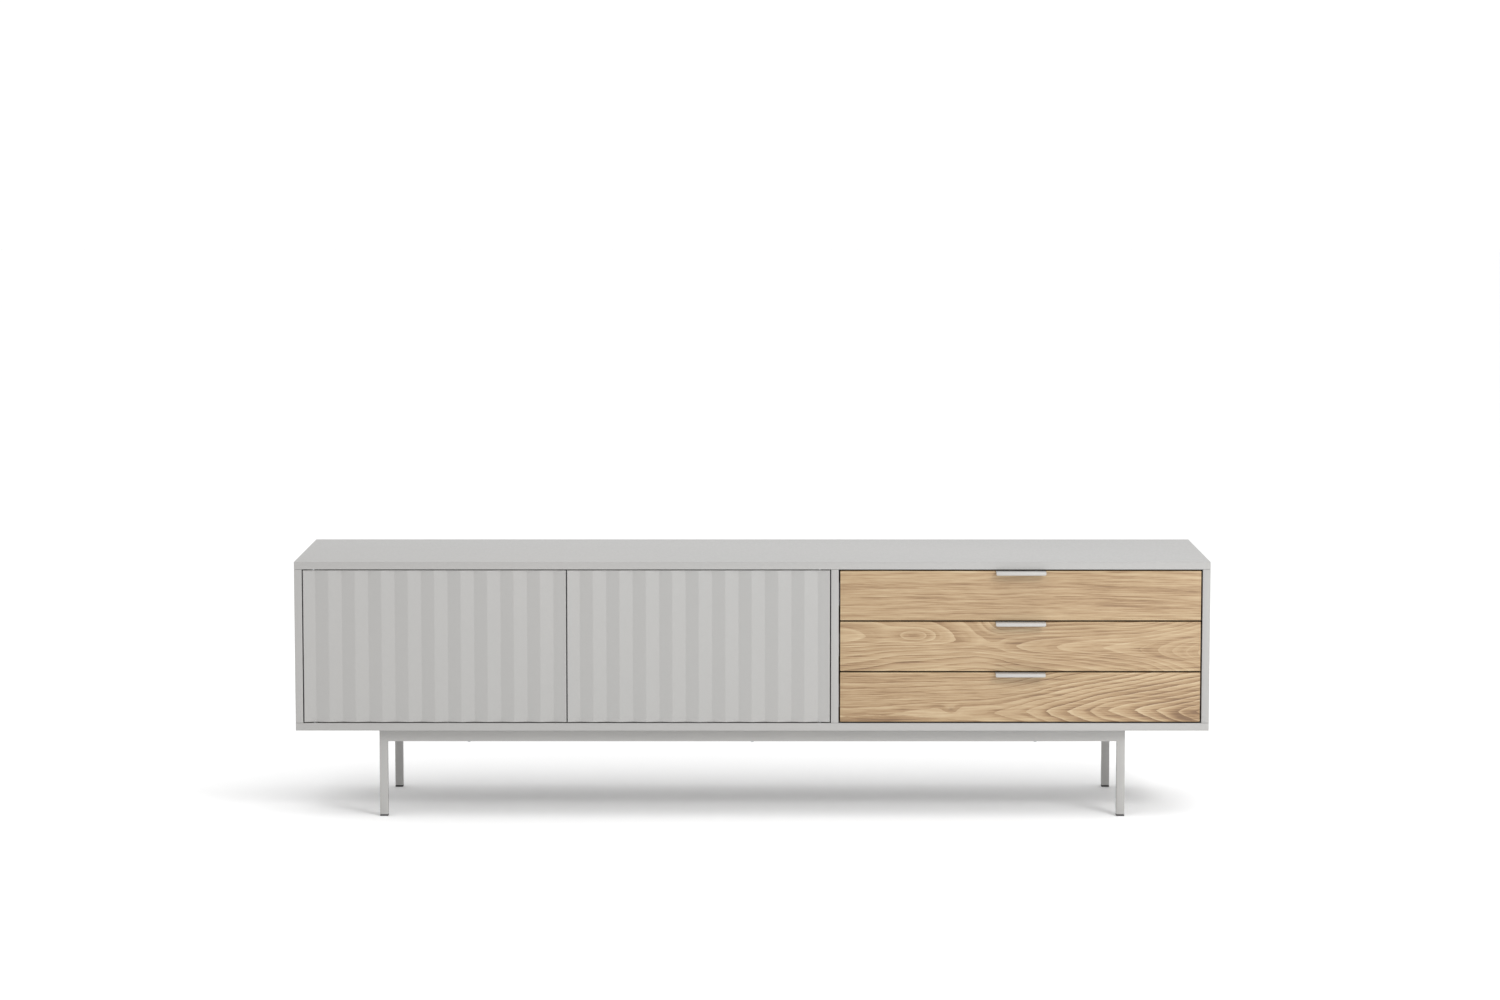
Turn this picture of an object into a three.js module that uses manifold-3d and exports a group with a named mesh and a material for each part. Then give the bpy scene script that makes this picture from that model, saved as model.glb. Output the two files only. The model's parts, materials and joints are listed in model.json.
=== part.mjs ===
// A low media cabinet. A lacquered case stands on a welded steel base. Its left bay has two
// pleated doors with a shelf behind each; its right bay has three oak-fronted drawers.
// Millimetres. X runs along the cabinet, Y from its front to its back, Z up from the floor.

import * as THREE from "three";
import { mergeVertices } from "three/addons/utils/BufferGeometryUtils.js";
import Module from "manifold-3d";

const wasm = await Module();
wasm.setup();

// ---- Driving dimensions ---------------------------------------------------------------

const SEAM = 0.3; // joint line between two pieces that are fixed to each other
const REVEAL = 2; // gap round every door
const DRAWER_REVEAL = 3; // gap round every drawer front

// Case
const CASE_WIDTH = 1800;
const CASE_DEPTH = 400;
const CASE_HEIGHT = 335;
const PANEL = 15; // thickness of top, bottom, sides, divider, partition and shelves
const DRAWER_BAY = 715; // clear width from the divider to the right side
const BACK_THICKNESS = 5;
const BACK_INSET = 10; // from the back edge of the case to the back panel
const BACK_GROOVE = 7; // depth of the groove that holds the back panel
const OUTLET_DIAMETER = 60; // cable holes in the back panel
const OUTLET_HEIGHT = 55; // from the case floor to the middle of a cable hole
const PARTITION_SETBACK = 6; // from the backs of the doors to the partition
const SHELF_SETBACK = 45; // from the front of the case to a shelf
const SHELF_CABLE_GAP = 25; // behind a shelf
const SHELF_LIFT = 145; // from the case floor to the underside of a shelf

// Base
const BASE_HEIGHT = 175;
const BASE_END_INSET = 162.5; // from each end of the case
const BASE_FRONT_INSET = 25;
const BASE_BACK_INSET = 25;
const LEG = 16; // side of the square leg tube, and depth of the rail tube
const RAIL_HEIGHT = 25;
const TUBE_WALL = 1.5;
const GLIDE_FOOT = 3; // height of the glide below the leg
const GLIDE_PLUG = 12; // height of the glide inside the leg

// Doors
const DOOR_THICKNESS = 19; // over the pleats
const PLEAT_PITCH = 52; // nominal; a bay always holds whole pleats
const PLEAT_DEPTH = 4;
const DOOR_EASE = 1; // chamfer on the upright front edges

// Door pivots
const PIVOT_IN = 20; // from the door's hinge edge to the axis
const PIVOT_BACK = 9; // from the front of the case to the axis
const PIN_DIAMETER = 5;
const PIN_REACH = 7; // into the case panel
const PIN_CLEARANCE = 0.3;
const LEAF_THICKNESS = 2.5;
const LEAF_LENGTH = 36;
const LEAF_WIDTH = 9;
const LEAF_START = 12; // from the axis towards the hinge edge
const LEAF_FRONT = 3.5; // from the axis towards the front
const SOCKET_WALL = 3.2;
const SOCKET_BASE = 1.5;

// Push latch
const LATCH_WIDTH = 76;
const LATCH_DEPTH = 45;
const LATCH_HEIGHT = 14;
const LATCH_GAP = 8; // from the backs of the doors to the latch body
const LATCH_CLEARANCE = 2; // between the latch and the partition's notch
const PLUNGER_SPACING = 44;
const PLUNGER_DIAMETER = 8;
const PLUNGER_CLEARANCE = 0.4;
const PLUNGER_LENGTH = 30; // inside the latch
const PLUNGER_TRAVEL = 3;
const PLUNGER_HEAD_DIAMETER = 11;
const PLUNGER_HEAD = 3;

// Drawers
const DRAWER_COUNT = 3;
const FRONT_THICKNESS = 19;
const FRONT_GROOVE = 8;
const BOX_THICKNESS = 12; // drawer sides and back
const BOX_LIFT = 15; // from the lower edge of the front to the box
const BOX_DROP = 14; // from the upper edge of the front to the box
const BOTTOM_THICKNESS = 5;
const BOTTOM_LIFT = 10; // from the lower edge of the box to the groove
const BOTTOM_GROOVE = 6;

// Runners
const RUNNER_STEP = 50; // runners come in lengths that differ by this
const RUNNER_SPACE = 12.7; // between a drawer side and the case
const RUNNER_HEIGHT = 45;
const RUNNER_SHEET = 1.2;
const RUNNER_SETBACK = 2; // from the back of a drawer front
const RUNNER_END_GAP = 10; // least space behind a runner
const RUNNER_DEPTH = 8.7; // of the member on the case
const RUNNER_LIP = 2.5;
const SLIDE_HEIGHT = 34; // of the member on the drawer
const SLIDE_DEPTH = 8.4;

// Handles
const HANDLE_WIDTH = 98;
const HANDLE_SHEET = 2;
const HANDLE_REACH = 18; // in front of the drawer
const HANDLE_GRIP = 12; // let into the top edge of the drawer front
const HANDLE_LIP = 7; // height of the turned-down edge
const HANDLE_BEND = 3; // outer radius of the bend
const HANDLE_CORNER = 2.5;

// ---- Places that follow from them -----------------------------------------------------

// The origin is on the floor, in the middle of the whole object, handles included.
const frontY = -(CASE_DEPTH - HANDLE_REACH) / 2;

const floorZ = PANEL;
const ceilingZ = CASE_HEIGHT - PANEL;
const leftWall = -CASE_WIDTH / 2 + PANEL;
const rightWall = CASE_WIDTH / 2 - PANEL;
const dividerRight = rightWall - DRAWER_BAY;
const dividerLeft = dividerRight - PANEL;
const doorBay = dividerLeft - leftWall;
const doorBayMiddle = (dividerLeft + leftWall) / 2;
const backFront = CASE_DEPTH - BACK_INSET - BACK_THICKNESS;
const backRear = backFront + BACK_THICKNESS;

const doorWidth = doorBay / 2 - REVEAL * 1.5;
const doorHeight = ceilingZ - floorZ - 2 * REVEAL;
const pleatsPerDoor = Math.max(1, Math.round(doorBay / 2 / PLEAT_PITCH));
const pleatPitch = doorBay / 2 / pleatsPerDoor;

const latchFront = DOOR_THICKNESS + LATCH_GAP;
const latchRear = latchFront + LATCH_DEPTH;
const latchTop = ceilingZ - SEAM;
const plungerZ = latchTop - LATCH_HEIGHT / 2;
const socketDepth = PIN_REACH + 2 * PIN_CLEARANCE + SOCKET_BASE;
const socketBore = PIN_DIAMETER / 2 + PIN_CLEARANCE;
const socketRadius = socketBore + SOCKET_WALL;

const drawerHeight = (ceilingZ - floorZ - (DRAWER_COUNT + 1) * DRAWER_REVEAL) / DRAWER_COUNT;
const boxFloor = BOX_LIFT;
const boxTop = drawerHeight - BOX_DROP;
const boxHalfWidth = DRAWER_BAY / 2 - RUNNER_SPACE;
const runnerFront = FRONT_THICKNESS + RUNNER_SETBACK;
const runnerRoom = backFront - RUNNER_END_GAP - runnerFront;
const runnerLength = Math.floor(runnerRoom / RUNNER_STEP) * RUNNER_STEP;
const boxFront = FRONT_THICKNESS + SEAM;
const boxRear = runnerFront + runnerLength;

const baseWidth = CASE_WIDTH - 2 * BASE_END_INSET;
const baseDepth = CASE_DEPTH - BASE_FRONT_INSET - BASE_BACK_INSET;
const railTop = BASE_HEIGHT - SEAM;
const legFoot = GLIDE_FOOT + SEAM;

// ---- Materials ------------------------------------------------------------------------

const finish = (color, roughness, metalness = 0) =>
  new THREE.MeshStandardMaterial({ color, roughness, metalness, flatShading: true });

const LACQUER = () => finish(0xc5c4c1, 0.55);
const MELAMINE = () => finish(0xc9c7c2, 0.6);
const OAK = () => finish(0xc3a785, 0.6);
const STEEL_PAINT = () => finish(0xb1b0ae, 0.5, 0.1);
const HANDLE_PAINT = () => finish(0xc3c2c0, 0.45, 0.1);
const ZINC = () => finish(0xb4b7ba, 0.35, 1);
const GREY_PLASTIC = () => finish(0xa6a6a4, 0.55);
const DARK_PLASTIC = () => finish(0x2b2b2c, 0.6);

// ---- Shapes ---------------------------------------------------------------------------

const X = new THREE.Vector3(1, 0, 0);
const Y = new THREE.Vector3(0, 1, 0);
const Z = new THREE.Vector3(0, 0, 1);
const ROUND = 32; // sides of a round piece or hole

// A block from its ranges along the three axes.
function block([x0, x1], [y0, y1], [z0, z1]) {
  const body = new THREE.BoxGeometry(x1 - x0, y1 - y0, z1 - z0);
  return body.translate((x0 + x1) / 2, (y0 + y1) / 2, (z0 + z1) / 2);
}

// An outline swept along an axis. Its points are (x, y) for Z, (y, z) for X and (z, x) for Y.
function prism(outline, axis, [from, to]) {
  const shape = new THREE.Shape(outline.map(([a, b]) => new THREE.Vector2(a, b)));
  const body = new THREE.ExtrudeGeometry(shape, { depth: to - from, bevelEnabled: false });
  body.translate(0, 0, from);
  const turn = { x: [Y, Z, X], y: [Z, X, Y], z: [X, Y, Z] }[axis];
  return body.applyMatrix4(new THREE.Matrix4().makeBasis(...turn));
}

// A round bar or hole along an axis, through the point whose other two coordinates are given.
function rod(radius, axis, [a, b], range) {
  const circle = [];
  for (let i = 0; i < ROUND; i += 1) {
    const angle = (2 * Math.PI * i) / ROUND;
    circle.push([a + radius * Math.cos(angle), b + radius * Math.sin(angle)]);
  }
  return prism(circle, axis, range);
}

// The points of a quarter circle, from one angle to the next quarter.
function quarter([a, b], radius, start, sweep = 90) {
  const steps = 4;
  const points = [];
  for (let i = 0; i <= steps; i += 1) {
    const angle = THREE.MathUtils.degToRad(start + (sweep * i) / steps);
    points.push([a + radius * Math.cos(angle), b + radius * Math.sin(angle)]);
  }
  return points;
}

function solid(geometry) {
  const bare = geometry.clone();
  bare.deleteAttribute("normal");
  bare.deleteAttribute("uv");
  const merged = mergeVertices(bare);
  const vertProperties = new Float32Array(merged.attributes.position.array);
  const triVerts = new Uint32Array(merged.index.array);
  return new wasm.Manifold(new wasm.Mesh({ numProp: 3, vertProperties, triVerts }));
}

function surface(manifold) {
  const mesh = manifold.getMesh();
  const geometry = new THREE.BufferGeometry();
  geometry.setAttribute("position", new THREE.BufferAttribute(mesh.vertProperties, 3));
  geometry.setIndex(new THREE.BufferAttribute(mesh.triVerts, 1));
  return geometry;
}

const join = (...parts) => surface(parts.map(solid).reduce((whole, part) => whole.add(part)));
const cut = (body, ...tools) =>
  surface(tools.map(solid).reduce((rest, tool) => rest.subtract(tool), solid(body)));
const common = (a, b) => surface(solid(a).intersect(solid(b)));

// A range that starts at one place and runs a length, or that lies evenly about a middle.
const span = (start, length) => [start, start + length].sort((a, b) => a - b);
const about = (middle, half) => [middle - half, middle + half];

function add(group, name, geometry, material) {
  const mesh = new THREE.Mesh(geometry, material);
  mesh.name = name;
  group.add(mesh);
}

const cabinet = new THREE.Group();

// ---- Case -----------------------------------------------------------------------------
// Local origin: middle of the lower front edge. The top and the bottom run over the sides,
// and the back panel sits in a groove all round.

const case_ = new THREE.Group();
case_.position.set(0, frontY, BASE_HEIGHT);
cabinet.add(case_);

const grooveY = [backFront - SEAM, backRear + SEAM];
const uprightZ = [floorZ + SEAM, ceilingZ - SEAM];
const fullDepth = [0, CASE_DEPTH];

// The two door axes, each with the side that it hinges on: -1 left, 1 right.
const doorHinges = [
  { hand: -1, edge: leftWall + REVEAL },
  { hand: 1, edge: dividerLeft - REVEAL },
].map(({ hand, edge }) => ({ hand, edge, axis: edge - hand * PIVOT_IN }));

// The top or the bottom, with the back groove and the seats of the door sockets in its inner
// face; inward is the way from that face out of the board.
function horizontalPanel(bottomZ, innerZ, inward) {
  const board = block([-CASE_WIDTH / 2, CASE_WIDTH / 2], fullDepth, span(bottomZ, PANEL));
  const grooveX = [leftWall - BACK_GROOVE, rightWall + BACK_GROOVE];
  const groove = block(grooveX, grooveY, [innerZ - BACK_GROOVE, innerZ + BACK_GROOVE]);
  const seatZ = span(innerZ + inward, -inward * (socketDepth + SEAM + 1));
  const bores = doorHinges.map(({ axis }) =>
    rod(socketRadius + SEAM, "z", [axis, PIVOT_BACK], seatZ),
  );
  return cut(board, groove, ...bores);
}

add(case_, "bottom_panel", horizontalPanel(0, floorZ, 1), LACQUER());
add(case_, "top_panel", horizontalPanel(ceilingZ, ceilingZ, -1), LACQUER());

function sidePanel(hand, inner) {
  const board = block(span(inner, hand * PANEL), fullDepth, uprightZ);
  const groove = block(about(inner, BACK_GROOVE), grooveY, [0, CASE_HEIGHT]);
  return cut(board, groove);
}

add(case_, "left_side_panel", sidePanel(-1, leftWall), LACQUER());
add(case_, "right_side_panel", sidePanel(1, rightWall), LACQUER());

const uprightRear = backFront - SEAM;
const divider = block([dividerLeft, dividerRight], [0, uprightRear], uprightZ);
add(case_, "drawer_divider", divider, LACQUER());

// The partition stands behind the doors and is notched round the latch.
const partitionFront = DOOR_THICKNESS + PARTITION_SETBACK;
const partitionX = about(doorBayMiddle, PANEL / 2);
const notch = block(
  about(doorBayMiddle, PANEL),
  [0, latchRear + LATCH_CLEARANCE],
  [latchTop - LATCH_HEIGHT - LATCH_CLEARANCE, CASE_HEIGHT],
);
const partition = block(partitionX, [partitionFront, uprightRear], uprightZ);
add(case_, "centre_partition", cut(partition, notch), MELAMINE());

const compartments = [
  { name: "left", range: [leftWall, partitionX[0]] },
  { name: "right", range: [partitionX[1], dividerLeft] },
];
const shelfY = [SHELF_SETBACK, backFront - SHELF_CABLE_GAP];
for (const { name, range } of compartments) {
  const shelf = block([range[0] + SEAM, range[1] - SEAM], shelfY, span(floorZ + SHELF_LIFT, PANEL));
  add(case_, `${name}_shelf`, shelf, MELAMINE());
}

const backPanel = block(
  [leftWall - BACK_GROOVE + SEAM, rightWall + BACK_GROOVE - SEAM],
  [backFront, backRear],
  [floorZ - BACK_GROOVE + SEAM, ceilingZ + BACK_GROOVE - SEAM],
);
const outlets = compartments.map(({ range }) => {
  const middle = (range[0] + range[1]) / 2;
  return rod(OUTLET_DIAMETER / 2, "y", [floorZ + OUTLET_HEIGHT, middle], [0, CASE_DEPTH]);
});
add(case_, "back_panel", cut(backPanel, ...outlets), MELAMINE());

// ---- Base -----------------------------------------------------------------------------
// Local origin: on the floor, in the middle of the front frame. Two inverted U frames of
// tube, joined at the top by a cross rail at each end. The legs are open at the foot, where
// a glide is pressed in.

const base = new THREE.Group();
base.position.set(0, frontY + BASE_FRONT_INSET, 0);
cabinet.add(base);

const railZ = [railTop - RAIL_HEIGHT, railTop];
const ends = [
  { name: "left", hand: -1 },
  { name: "right", hand: 1 },
];

// The tubes of a leg frame, drawn in by a margin: none for the outside, a wall for the bore.
function frameTubes(y, margin, footZ) {
  const outer = baseWidth / 2 - margin;
  const depth = [y + margin, y + LEG - margin];
  const rail = block([-outer, outer], depth, [railZ[0] + margin, railZ[1] - margin]);
  const legs = ends.map(({ hand }) =>
    block(span(hand * outer, -hand * (LEG - 2 * margin)), depth, [footZ, railZ[1] - margin]),
  );
  return join(rail, ...legs);
}

const frames = [
  { name: "front", y: 0 },
  { name: "rear", y: baseDepth - LEG },
];
for (const { name, y } of frames) {
  const tube = cut(frameTubes(y, 0, legFoot), frameTubes(y, TUBE_WALL, 0));
  add(base, `${name}_leg_frame`, tube, STEEL_PAINT());
}

for (const { name, hand } of ends) {
  const outer = (hand * baseWidth) / 2;
  const length = [LEG + SEAM, baseDepth - LEG - SEAM];
  const rail = block(span(outer, -hand * LEG), length, railZ);
  const bore = block(
    span(outer - hand * TUBE_WALL, -hand * (LEG - 2 * TUBE_WALL)),
    [0, baseDepth],
    [railZ[0] + TUBE_WALL, railZ[1] - TUBE_WALL],
  );
  add(base, `${name}_cross_rail`, cut(rail, bore), STEEL_PAINT());
}

const plugHalf = LEG / 2 - TUBE_WALL - SEAM;
for (const frame of frames) {
  for (const end of ends) {
    const x = end.hand * (baseWidth / 2 - LEG / 2);
    const y = frame.y + LEG / 2;
    const foot = block(about(x, LEG / 2), about(y, LEG / 2), [0, GLIDE_FOOT]);
    const plug = block(about(x, plugHalf), about(y, plugHalf), [0, GLIDE_FOOT + GLIDE_PLUG]);
    add(base, `${frame.name}_${end.name}_glide`, join(foot, plug), DARK_PLASTIC());
  }
}

// ---- Doors ----------------------------------------------------------------------------
// Each door turns on two pins: a leaf with a pin is let into its top and its bottom edge,
// and each pin runs in a socket in the case. Local origin: the axis, level with the lower
// edge of the door and the front of the case.

// How far the pleated face lies behind the front, at a distance from the end of the bay.
function pleat(fromBayEnd) {
  const turn = (fromBayEnd / pleatPitch) % 1;
  return PLEAT_DEPTH * (1 - Math.abs(2 * turn - 1));
}

// The door in plan, as (distance from the hinge edge, depth), hinge edge first.
function doorOutline() {
  const face = (u) => pleat(u + REVEAL);
  const points = [[0, face(0) + DOOR_EASE], [DOOR_EASE, face(DOOR_EASE)]];
  for (let i = 1; i < 2 * pleatsPerDoor; i += 1) {
    const u = (i * pleatPitch) / 2 - REVEAL;
    points.push([u, face(u)]);
  }
  const far = doorWidth - DOOR_EASE;
  points.push([far, face(far)], [doorWidth, face(doorWidth) + DOOR_EASE]);
  points.push([doorWidth, DOOR_THICKNESS], [0, DOOR_THICKNESS]);
  return points;
}

for (const { hand, axis } of doorHinges) {
  const name = hand < 0 ? "left_door" : "right_door";
  const door = new THREE.Group();
  door.position.set(axis, frontY, BASE_HEIGHT + floorZ + REVEAL);
  cabinet.add(door);

  const outline = doorOutline().map(([u, v]) => [hand * (PIVOT_IN - u), v]);
  const leafX = span(hand * LEAF_START, -hand * LEAF_LENGTH);
  const leafY = span(PIVOT_BACK - LEAF_FRONT, LEAF_WIDTH);
  const recessX = [leafX[0] - SEAM, leafX[1] + SEAM];
  const recessY = [leafY[0] - SEAM, leafY[1] + SEAM];
  const recess = LEAF_THICKNESS + SEAM;
  const panel = cut(
    prism(outline, "z", [0, doorHeight]),
    block(recessX, recessY, [-1, recess]),
    block(recessX, recessY, [doorHeight - recess, doorHeight + 1]),
  );
  add(door, name, panel, LACQUER());

  const centre = [0, PIVOT_BACK];
  const pinLength = LEAF_THICKNESS + REVEAL + PIN_REACH;
  const bottomPivot = join(
    block(leafX, leafY, [0, LEAF_THICKNESS]),
    rod(PIN_DIAMETER / 2, "z", centre, span(LEAF_THICKNESS, -pinLength)),
  );
  const topPivot = join(
    block(leafX, leafY, [doorHeight - LEAF_THICKNESS, doorHeight]),
    rod(PIN_DIAMETER / 2, "z", centre, span(doorHeight - LEAF_THICKNESS, pinLength)),
  );
  add(door, `${name}_bottom_pivot`, bottomPivot, ZINC());
  add(door, `${name}_top_pivot`, topPivot, ZINC());

  // Sockets are cups, pressed into the case with their mouths towards the door.
  const place = [axis, PIVOT_BACK];
  for (const [level, mouth, inward] of [["bottom", floorZ, -1], ["top", ceilingZ, 1]]) {
    const cup = cut(
      rod(socketRadius, "z", place, span(mouth, inward * socketDepth)),
      rod(socketBore, "z", place, span(mouth - inward, inward * (socketDepth - SOCKET_BASE + 1))),
    );
    add(case_, `${name}_${level}_socket`, cup, GREY_PLASTIC());
  }
}

// ---- Push latch -----------------------------------------------------------------------
// A twin latch under the top panel. Each plunger touches the back of one door.

const plungerBore = PLUNGER_DIAMETER / 2 + PLUNGER_CLEARANCE;
const boreRear = latchFront + PLUNGER_LENGTH + PLUNGER_TRAVEL + LATCH_CLEARANCE;
const plungerPlaces = ends.map(({ name, hand }) => ({
  name,
  place: [plungerZ, doorBayMiddle + (hand * PLUNGER_SPACING) / 2],
}));
const latchBody = block(
  about(doorBayMiddle, LATCH_WIDTH / 2),
  [latchFront, latchRear],
  [latchTop - LATCH_HEIGHT, latchTop],
);
const plungerBores = plungerPlaces.map(({ place }) => rod(plungerBore, "y", place, [0, boreRear]));
add(case_, "latch_housing", cut(latchBody, ...plungerBores), GREY_PLASTIC());

for (const { name, place } of plungerPlaces) {
  const tip = DOOR_THICKNESS + SEAM;
  const plunger = join(
    rod(PLUNGER_DIAMETER / 2, "y", place, [tip, latchFront + PLUNGER_LENGTH]),
    rod(PLUNGER_HEAD_DIAMETER / 2, "y", place, span(tip, PLUNGER_HEAD)),
  );
  add(case_, `${name}_latch_plunger`, plunger, GREY_PLASTIC());
}

// ---- Drawers --------------------------------------------------------------------------
// Local origin: middle of the lower front edge of the drawer front. The sides butt against
// the front, the bottom slides in grooves in the front and sides, under the back.

const frontHalf = DRAWER_BAY / 2 - DRAWER_REVEAL;
const boxZ = [boxFloor, boxTop];
const grooveZ = span(boxFloor + BOTTOM_LIFT, BOTTOM_THICKNESS + 2 * SEAM);
const bottomZ = span(boxFloor + BOTTOM_LIFT + SEAM, BOTTOM_THICKNESS);
const boxInner = boxHalfWidth - BOX_THICKNESS;
const bottomHalf = boxInner + BOTTOM_GROOVE;

function drawerFront() {
  const board = block([-frontHalf, frontHalf], [0, FRONT_THICKNESS], [0, drawerHeight]);
  const groove = block(
    [-bottomHalf, bottomHalf],
    [FRONT_THICKNESS - FRONT_GROOVE, FRONT_THICKNESS + 1],
    grooveZ,
  );
  const handleSeat = block(
    about(0, HANDLE_WIDTH / 2 + SEAM),
    [-1, HANDLE_GRIP + SEAM],
    [drawerHeight - HANDLE_SHEET - SEAM, drawerHeight + 1],
  );
  return cut(board, groove, handleSeat);
}

function drawerSide(hand) {
  const board = block(span(hand * boxHalfWidth, -hand * BOX_THICKNESS), [boxFront, boxRear], boxZ);
  const groove = block(
    span(hand * bottomHalf, -hand * BOX_THICKNESS),
    [0, boxRear + 1],
    grooveZ,
  );
  return cut(board, groove);
}

// The handle is a tab of bent sheet: flat on top, with its front edge turned down.
function handle() {
  const top = drawerHeight;
  const bend = [HANDLE_BEND - HANDLE_REACH, top - HANDLE_BEND];
  const profile = [
    [HANDLE_GRIP, top],
    ...quarter(bend, HANDLE_BEND, 90),
    [-HANDLE_REACH, top - HANDLE_LIP],
    [-HANDLE_REACH + HANDLE_SHEET, top - HANDLE_LIP],
    ...quarter(bend, HANDLE_BEND - HANDLE_SHEET, 180, -90),
    [HANDLE_GRIP, top - HANDLE_SHEET],
  ];
  const half = HANDLE_WIDTH / 2;
  const low = top - HANDLE_LIP;
  const face = [
    [top + 1, -half],
    [top + 1, half],
    ...quarter([low + HANDLE_CORNER, half - HANDLE_CORNER], HANDLE_CORNER, 90),
    ...quarter([low + HANDLE_CORNER, HANDLE_CORNER - half], HANDLE_CORNER, 180),
  ];
  const sheet = prism(profile, "x", [-half, half]);
  return common(sheet, prism(face, "y", [-HANDLE_REACH - 1, HANDLE_GRIP + 1]));
}

// The two members of a runner are channels that face each other, with a ball track between
// their flanges. Their sections are (distance from the case wall, height).
const runnerMiddle = (boxFloor + boxTop) / 2;

function channel(backU, tipU, height, lip) {
  const sheet = Math.sign(tipU - backU) * RUNNER_SHEET;
  const half = height / 2;
  const upper = [
    [backU + sheet, half - RUNNER_SHEET],
    [tipU - sheet, half - RUNNER_SHEET],
    [tipU - sheet, half - lip],
    [tipU, half - lip],
    [tipU, half],
    [backU, half],
  ];
  const lower = upper.map(([u, z]) => [u, -z]).reverse();
  return [...upper, ...lower];
}

function runner(section, hand, range) {
  const outline = section.map(([u, z]) => [runnerMiddle + z, hand * (DRAWER_BAY / 2 - u)]);
  return prism(outline, "y", range);
}

const caseSection = channel(SEAM, SEAM + RUNNER_DEPTH, RUNNER_HEIGHT, RUNNER_LIP);
const slideBack = RUNNER_SPACE - SEAM;
const slideSection = channel(slideBack, slideBack - SLIDE_DEPTH, SLIDE_HEIGHT, 2 * RUNNER_SHEET);

for (let i = 0; i < DRAWER_COUNT; i += 1) {
  const name = `drawer_${i + 1}`; // counted from the top
  const drawer = new THREE.Group();
  const level = floorZ + DRAWER_REVEAL + (DRAWER_COUNT - 1 - i) * (drawerHeight + DRAWER_REVEAL);
  drawer.position.set((dividerRight + rightWall) / 2, frontY, BASE_HEIGHT + level);
  const tracks = new THREE.Group(); // the members that stay with the case
  tracks.position.copy(drawer.position);
  cabinet.add(drawer, tracks);

  add(drawer, `${name}_front`, drawerFront(), OAK());
  add(drawer, `${name}_handle`, handle(), HANDLE_PAINT());
  const bottomX = [SEAM - bottomHalf, bottomHalf - SEAM];
  const bottomY = [FRONT_THICKNESS - FRONT_GROOVE + SEAM, boxRear];
  add(drawer, `${name}_bottom`, block(bottomX, bottomY, bottomZ), MELAMINE());
  const backY = [boxRear - BOX_THICKNESS, boxRear];
  const backZ = [bottomZ[1] + SEAM, boxTop];
  add(drawer, `${name}_back`, block([SEAM - boxInner, boxInner - SEAM], backY, backZ), MELAMINE());
  for (const end of ends) {
    const runnerY = span(runnerFront, runnerLength);
    add(drawer, `${name}_${end.name}_side`, drawerSide(end.hand), MELAMINE());
    add(drawer, `${name}_${end.name}_slide`, runner(slideSection, end.hand, runnerY), ZINC());
    add(tracks, `${name}_${end.name}_runner`, runner(caseSection, end.hand, runnerY), ZINC());
  }
}

export default cabinet;
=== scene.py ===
import json
from functools import partial
from math import radians

import bmesh
import bpy
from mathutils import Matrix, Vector


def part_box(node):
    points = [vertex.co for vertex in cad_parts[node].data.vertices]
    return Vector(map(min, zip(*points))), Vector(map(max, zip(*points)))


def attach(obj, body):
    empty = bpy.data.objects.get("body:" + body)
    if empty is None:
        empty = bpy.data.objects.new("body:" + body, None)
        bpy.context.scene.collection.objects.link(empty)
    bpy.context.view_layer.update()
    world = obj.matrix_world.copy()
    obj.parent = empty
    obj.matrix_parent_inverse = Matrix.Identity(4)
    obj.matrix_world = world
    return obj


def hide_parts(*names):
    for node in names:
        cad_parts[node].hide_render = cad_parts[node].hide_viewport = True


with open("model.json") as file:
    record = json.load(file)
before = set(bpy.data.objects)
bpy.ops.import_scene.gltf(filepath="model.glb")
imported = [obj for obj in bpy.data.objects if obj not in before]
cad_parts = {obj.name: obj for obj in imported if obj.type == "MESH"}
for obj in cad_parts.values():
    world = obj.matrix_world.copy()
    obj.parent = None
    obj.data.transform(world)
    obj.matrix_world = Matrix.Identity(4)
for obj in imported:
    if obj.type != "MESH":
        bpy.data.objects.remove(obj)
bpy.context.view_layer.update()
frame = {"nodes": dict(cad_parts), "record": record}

scene = bpy.context.scene


# ---- Studio -----------------------------------------------------------------------------
# The cabinet stands on a seamless white floor. The main soft light is high at the front
# right; one overhead and a low one at the front lift the top and the base.

FLOOR_SIZE = 60.0
FLOOR_WHITE = (0.93, 0.93, 0.93, 1)
FLOOR_WHITE_LIGHT = (0.945, 0.945, 0.945, 1)
ROOM_BRIGHTNESS = 1.07
CAMERA_LENS = 94.3
CAMERA_PLACE = (0.003, -7.852, 1.409)
CAMERA_TILT = 5.790  # degrees below level
CAMERA_TURN = 0.055  # degrees to the left


def step(tree, kind, inputs=None, **settings):
    """Adds a node, with its settings, and fills its inputs with values or with links."""
    node = tree.nodes.new(kind)
    for key, value in settings.items():
        setattr(node, key, value)
    for key, value in (inputs or {}).items():
        if isinstance(value, bpy.types.NodeSocket):
            tree.links.new(value, node.inputs[key])
        else:
            node.inputs[key].default_value = value
    return node


def new_material(name, **sockets):
    """A material with its node tree and shader, whose plain values are set on the shader."""
    material = bpy.data.materials.new(name)
    material.use_nodes = True
    tree = material.node_tree
    shader = tree.nodes["Principled BSDF"]
    for key, value in sockets.items():
        shader.inputs[key.replace("_", " ")].default_value = value
    return material, tree, shader


def pattern(tree, stretch, detail=2.0, rough=0.5):
    """Noise on the object's own coordinates, with so many cells per metre along each axis."""
    place = step(tree, "ShaderNodeTexCoord").outputs["Object"]
    scaled = step(tree, "ShaderNodeMapping", {"Vector": place, "Scale": stretch})
    noise = step(
        tree,
        "ShaderNodeTexNoise",
        {"Vector": scaled.outputs[0], "Scale": 1.0, "Detail": detail, "Roughness": rough},
    )
    return noise.outputs["Fac"]


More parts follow.
